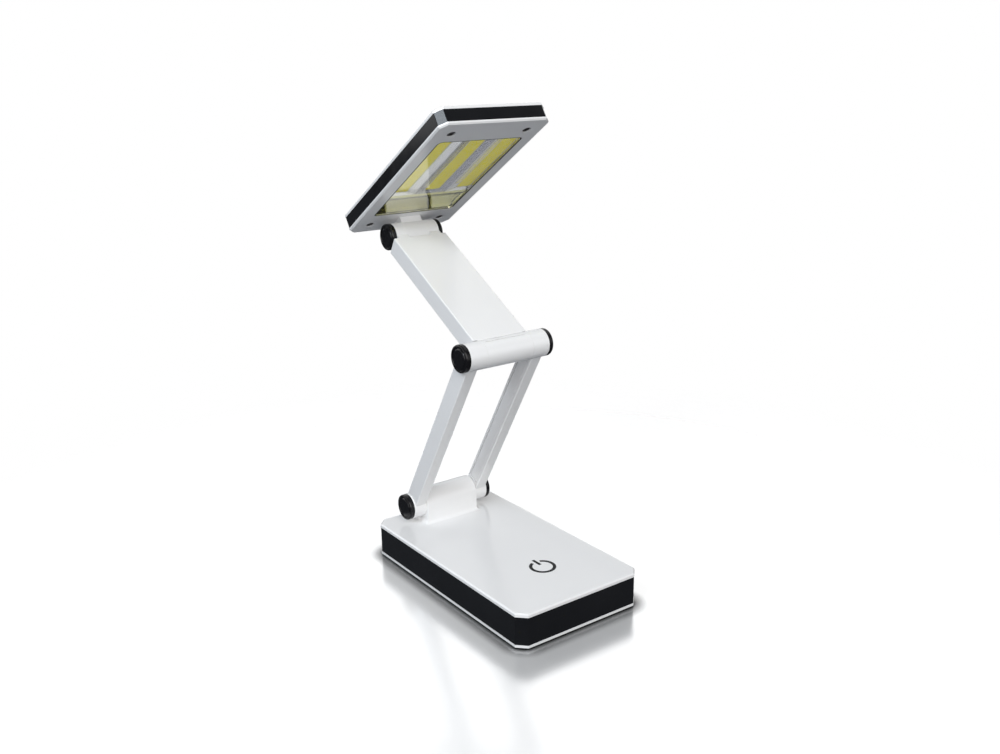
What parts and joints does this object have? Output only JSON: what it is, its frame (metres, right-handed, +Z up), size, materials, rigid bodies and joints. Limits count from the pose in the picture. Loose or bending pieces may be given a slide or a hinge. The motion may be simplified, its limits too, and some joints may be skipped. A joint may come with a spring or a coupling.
{
  "type": "folding desk lamp",
  "caption": "Folding accordion desk lamp: a flat battery base with a touch symbol, a two-legged lower arm, a flat upper arm and a slab light head on friction hinges.",
  "frame": {"origin": "on the table plane, under the middle of the base's footprint", "axes": "+Z up; +X to the lamp's right, along all three hinge axes; -Y towards the user, where the touch symbol is"},
  "size_m": [0.085, 0.1851, 0.2749],
  "materials": {
    "white_shell": "glossy moulded ABS",
    "black_band": "glossy moulded ABS",
    "black_cap": "glossy moulded ABS",
    "tray_plastic": "matt moulded ABS",
    "cell_jacket": "plain sleeved steel can",
    "contact_metal": "nickel-plated spring steel",
    "circuit_board": "solder mask on glass-fibre board",
    "foam_pad": "conductive foam",
    "zinc_screws": "dark zinc plate",
    "ballast_steel": "bare rolled sheet",
    "foot_rubber": "matt",
    "wire_jacket": "soft insulation",
    "hinge_steel": "turned, plated",
    "friction_washer": "acetal, matt",
    "clear_window": "polished clear acrylic",
    "reflector_chrome": "vacuum-metallised plastic",
    "phosphor_strip": "yellow phosphor gel on a white board",
    "heat_aluminium": "rolled sheet"
  },
  "bodies": {
    "base": {"base_top_cover": "white_shell", "base_inner_frame": "tray_plastic", "base_side_band": "black_band", "base_bottom_plate": "white_shell", "battery_door": "white_shell", "battery_tray": "tray_plastic", "battery_cell_1": "cell_jacket", "battery_cell_2": "cell_jacket", "battery_cell_3": "cell_jacket", "battery_cell_4": "cell_jacket", "battery_contacts_front": "contact_metal", "battery_contacts_rear": "contact_metal", "control_board": "circuit_board", "touch_sensor_pad": "foam_pad", "board_screws": "zinc_screws", "ballast_plate": "ballast_steel", "rubber_foot_front_left": "foot_rubber", "rubber_foot_front_right": "foot_rubber", "rubber_foot_rear_left": "foot_rubber", "rubber_foot_rear_right": "foot_rubber", "base_screws": "zinc_screws", "base_wire": "wire_jacket", "base_hinge_axle": "hinge_steel", "base_hinge_washers": "friction_washer"},
    "lower_arm": {"left_leg_channel": "white_shell", "left_leg_lid": "white_shell", "right_leg_channel": "white_shell", "right_leg_lid": "white_shell", "lower_arm_wire": "wire_jacket", "base_hinge_nuts": "hinge_steel", "base_hinge_cap_left": "black_cap", "base_hinge_cap_right": "black_cap", "middle_hinge_axle": "hinge_steel", "middle_hinge_washers": "friction_washer", "middle_hinge_nuts": "hinge_steel", "middle_hinge_cap_left": "black_cap", "middle_hinge_cap_right": "black_cap"},
    "upper_arm": {"upper_arm_shell": "white_shell", "upper_arm_back_cover": "white_shell", "upper_arm_screws": "zinc_screws", "upper_arm_wire": "wire_jacket", "head_hinge_axle": "hinge_steel", "head_hinge_washers": "friction_washer", "head_hinge_nuts": "hinge_steel", "head_hinge_cap_left": "black_cap", "head_hinge_cap_right": "black_cap"},
    "head": {"head_top_cover": "white_shell", "head_side_band": "black_band", "head_bezel": "white_shell", "head_window": "clear_window", "head_reflector": "reflector_chrome", "led_strip_left": "phosphor_strip", "led_strip_middle": "phosphor_strip", "led_strip_right": "phosphor_strip", "heat_plate": "heat_aluminium", "bezel_screws": "zinc_screws", "head_wire": "wire_jacket"}
  },
  "joints": [
    {"name": "base_hinge", "type": "hinge", "parent": "base", "child": "lower_arm", "pos_m": [0, 0.061, 0.03185], "axis": [-1, 0, 0], "range_deg": [-59.3, 50.7]},
    {"name": "middle_hinge", "type": "hinge", "parent": "lower_arm", "child": "upper_arm", "pos_m": [0, -0.00435, 0.14191], "axis": [1, 0, 0], "range_deg": [-75.2, 90.8]},
    {"name": "head_hinge", "type": "hinge", "parent": "upper_arm", "child": "head", "pos_m": [0, 0.08928, 0.19575], "axis": [-1, 0, 0], "range_deg": [-47, 58]}
  ]
}
